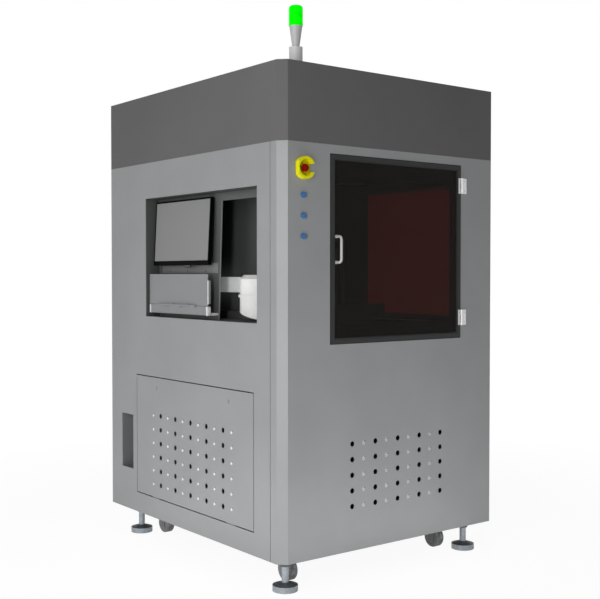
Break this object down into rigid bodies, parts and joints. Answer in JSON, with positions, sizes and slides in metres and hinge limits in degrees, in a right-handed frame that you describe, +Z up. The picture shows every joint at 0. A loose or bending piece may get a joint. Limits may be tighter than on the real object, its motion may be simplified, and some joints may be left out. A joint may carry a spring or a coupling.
{
  "type": "floor-standing resin printer",
  "caption": "Tall cabinet resin printer with a hinged front window, a side niche with monitor and folding tray, vented panels, a stack lamp, levelling feet and castors.",
  "frame": {"origin": "on the floor under the middle of the cabinet", "axes": "+X to the right seen from the front, +Y to the back, +Z up"},
  "size_m": [1.15, 1.401, 2.186],
  "materials": {
    "cabinet_paint": "light grey powder coat",
    "hood_paint": "dark grey powder coat",
    "frame_steel": "grey paint",
    "niche_paint": "dark grey powder coat",
    "backing_paint": "grey powder coat",
    "tray_paint": "mid grey powder coat",
    "monitor_plastic": "moulded, fine grain",
    "screen": "anti-glare panel",
    "canister_plastic": "blow moulded, natural white",
    "beam_paint": "white paint",
    "latch_metal": "turned",
    "door_paint": "dark grey powder coat",
    "door_glass": "tinted sheet",
    "handle_paint": "light grey powder coat",
    "hinge_metal": "satin",
    "estop_yellow": "moulded",
    "estop_red": "moulded",
    "button_blue": "moulded",
    "chamber_paint": "black powder coat",
    "vat_steel": "brushed sheet",
    "stand_paint": "grey paint",
    "platform_steel": "ground",
    "arm_metal": "anodised",
    "column_metal": "milled",
    "screw_steel": "ground",
    "motor_paint": "black paint",
    "way_steel": "ground",
    "recoater_metal": "anodised",
    "optics_metal": "tooling plate",
    "equipment_case": "mean density of a filled case",
    "scan_metal": "black anodised",
    "scan_mirror": "polished",
    "exhaust_metal": "rolled sheet",
    "lamp_body": "moulded",
    "lamp_lens": "moulded, translucent",
    "foot_metal": "zinc plated",
    "castor_steel": "dark paint",
    "castor_tread": "moulded"
  },
  "bodies": {
    "cabinet": {"base_plate": "frame_steel", "corner_posts": "frame_steel", "front_panel": "cabinet_paint", "left_panel": "cabinet_paint", "right_panel": "cabinet_paint", "rear_panel": "cabinet_paint", "hood_shell": "hood_paint", "niche_liner": "niche_paint", "monitor_backing": "backing_paint", "tray_hinge_strip": "tray_paint", "resin_canister": "canister_plastic", "canister_beam": "beam_paint", "cable_recess": "niche_paint", "hinge_plates": "hinge_metal", "estop_guard": "estop_yellow", "chamber_liner": "chamber_paint", "resin_vat": "vat_steel", "vat_stand": "stand_paint", "lifting_column": "column_metal", "lifting_motor": "motor_paint", "recoater_ways": "way_steel", "optics_plate": "optics_metal", "laser_head": "equipment_case", "scan_head": "scan_metal", "control_cabinet": "equipment_case", "exhaust_spigot": "exhaust_metal", "lamp_base": "lamp_body", "lamp_lens": "lamp_lens"},
    "door": {"door_frame": "door_paint", "door_glass": "door_glass", "door_handle": "handle_paint", "door_hinge_leaves": "hinge_metal"},
    "estop": {"estop_button": "estop_red"},
    "button_top": {"push_button_top": "button_blue"},
    "button_middle": {"push_button_middle": "button_blue"},
    "button_bottom": {"push_button_bottom": "button_blue"},
    "monitor": {"monitor_housing": "monitor_plastic", "monitor_screen": "screen"},
    "tray": {"keyboard_tray": "tray_paint"},
    "service_panel": {"service_panel": "cabinet_paint"},
    "latch_front": {"service_latch_front": "latch_metal"},
    "latch_rear": {"service_latch_rear": "latch_metal"},
    "platform": {"build_platform": "platform_steel", "lifting_arms": "arm_metal"},
    "screw": {"lifting_screw": "screw_steel"},
    "recoater": {"recoater": "recoater_metal"},
    "mirror_side": {"scan_mirror_side": "scan_mirror"},
    "mirror_top": {"scan_mirror_top": "scan_mirror"},
    "foot_front_left": {"foot_front_left": "foot_metal"},
    "castor_front_left": {"castor_fork_front_left": "castor_steel"},
    "wheel_front_left": {"castor_wheel_front_left": "castor_tread"},
    "foot_front_right": {"foot_front_right": "foot_metal"},
    "castor_front_right": {"castor_fork_front_right": "castor_steel"},
    "wheel_front_right": {"castor_wheel_front_right": "castor_tread"},
    "foot_rear_left": {"foot_rear_left": "foot_metal"},
    "castor_rear_left": {"castor_fork_rear_left": "castor_steel"},
    "wheel_rear_left": {"castor_wheel_rear_left": "castor_tread"},
    "foot_rear_right": {"foot_rear_right": "foot_metal"},
    "castor_rear_right": {"castor_fork_rear_right": "castor_steel"},
    "wheel_rear_right": {"castor_wheel_rear_right": "castor_tread"}
  },
  "joints": [
    {"name": "door_hinge", "type": "hinge", "parent": "cabinet", "child": "door", "pos_m": [0.3595, -0.6735, 1.27225], "axis": [0, 0, 1], "range_deg": [0, 120]},
    {"name": "estop_press", "type": "slide", "parent": "cabinet", "child": "estop", "axis": [0, 1, 0], "range_m": [0, 0.004], "stiffness_N_per_m": 2000},
    {"name": "button_top_press", "type": "slide", "parent": "cabinet", "child": "button_top", "axis": [0, 1, 0], "range_m": [0, 0.003], "stiffness_N_per_m": 1000},
    {"name": "button_middle_press", "type": "slide", "parent": "cabinet", "child": "button_middle", "axis": [0, 1, 0], "range_m": [0, 0.003], "stiffness_N_per_m": 1000},
    {"name": "button_bottom_press", "type": "slide", "parent": "cabinet", "child": "button_bottom", "axis": [0, 1, 0], "range_m": [0, 0.003], "stiffness_N_per_m": 1000},
    {"name": "monitor_tilt", "type": "hinge", "parent": "cabinet", "child": "monitor", "pos_m": [-0.515, 0.096, 1.354], "axis": [0, 1, 0], "range_deg": [-10, 4]},
    {"name": "tray_fold", "type": "hinge", "parent": "cabinet", "child": "tray", "pos_m": [-0.5668, 0.0905, 1.0485], "axis": [0, -1, 0], "range_deg": [0, 90]},
    {"name": "service_panel_tip", "type": "hinge", "parent": "cabinet", "child": "service_panel", "pos_m": [-0.575, -0.0315, 0.202], "axis": [0, -1, 0], "range_deg": [0, 40]},
    {"name": "latch_front_turn", "type": "hinge", "parent": "service_panel", "child": "latch_front", "pos_m": [-0.5735, -0.317, 0.681], "axis": [1, 0, 0], "range_deg": [0, 90]},
    {"name": "latch_rear_turn", "type": "hinge", "parent": "service_panel", "child": "latch_rear", "pos_m": [-0.5735, 0.247, 0.681], "axis": [1, 0, 0], "range_deg": [0, 90]},
    {"name": "platform_lift", "type": "slide", "parent": "cabinet", "child": "platform", "axis": [0, 0, 1], "range_m": [-0.28, 0]},
    {"name": "screw_turn", "type": "hinge", "parent": "cabinet", "child": "screw", "pos_m": [0, -0.04, 1.1], "axis": [0, 0, 1], "range_deg": [-5100, 60]},
    {"name": "recoater_sweep", "type": "slide", "parent": "cabinet", "child": "recoater", "axis": [0, -1, 0], "range_m": [0, 0.38]},
    {"name": "mirror_side_turn", "type": "hinge", "parent": "cabinet", "child": "mirror_side", "pos_m": [0, -0.3665, 1.72], "axis": [1, 0, 0], "range_deg": [-12, 12]},
    {"name": "mirror_top_turn", "type": "hinge", "parent": "cabinet", "child": "mirror_top", "pos_m": [0, -0.3245, 1.72], "axis": [0, 0, 1], "range_deg": [-12, 12]},
    {"name": "foot_front_left_screw", "type": "slide", "parent": "cabinet", "child": "foot_front_left", "axis": [0, 0, -1], "range_m": [0, 0.02]},
    {"name": "castor_front_left_swivel", "type": "hinge", "parent": "cabinet", "child": "castor_front_left", "pos_m": [-0.46, -0.532, 0.1], "axis": [0, 0, 1], "continuous": true},
    {"name": "wheel_front_left_roll", "type": "hinge", "parent": "castor_front_left", "child": "wheel_front_left", "pos_m": [-0.46, -0.55, 0.054], "axis": [1, 0, 0], "continuous": true},
    {"name": "foot_front_right_screw", "type": "slide", "parent": "cabinet", "child": "foot_front_right", "axis": [0, 0, -1], "range_m": [0, 0.02]},
    {"name": "castor_front_right_swivel", "type": "hinge", "parent": "cabinet", "child": "castor_front_right", "pos_m": [0.325, -0.532, 0.1], "axis": [0, 0, 1], "continuous": true},
    {"name": "wheel_front_right_roll", "type": "hinge", "parent": "castor_front_right", "child": "wheel_front_right", "pos_m": [0.325, -0.55, 0.054], "axis": [1, 0, 0], "continuous": true},
    {"name": "foot_rear_left_screw", "type": "slide", "parent": "cabinet", "child": "foot_rear_left", "axis": [0, 0, -1], "range_m": [0, 0.02]},
    {"name": "castor_rear_left_swivel", "type": "hinge", "parent": "cabinet", "child": "castor_rear_left", "pos_m": [-0.46, 0.382, 0.1], "axis": [0, 0, 1], "continuous": true},
    {"name": "wheel_rear_left_roll", "type": "hinge", "parent": "castor_rear_left", "child": "wheel_rear_left", "pos_m": [-0.46, 0.364, 0.054], "axis": [1, 0, 0], "continuous": true},
    {"name": "foot_rear_right_screw", "type": "slide", "parent": "cabinet", "child": "foot_rear_right", "axis": [0, 0, -1], "range_m": [0, 0.02]},
    {"name": "castor_rear_right_swivel", "type": "hinge", "parent": "cabinet", "child": "castor_rear_right", "pos_m": [0.325, 0.382, 0.1], "axis": [0, 0, 1], "continuous": true},
    {"name": "wheel_rear_right_roll", "type": "hinge", "parent": "castor_rear_right", "child": "wheel_rear_right", "pos_m": [0.325, 0.364, 0.054], "axis": [1, 0, 0], "continuous": true}
  ],
  "couplings": [
    {"joint": "screw_turn", "follows": "platform_lift", "rad_per_m": 314.16}
  ]
}
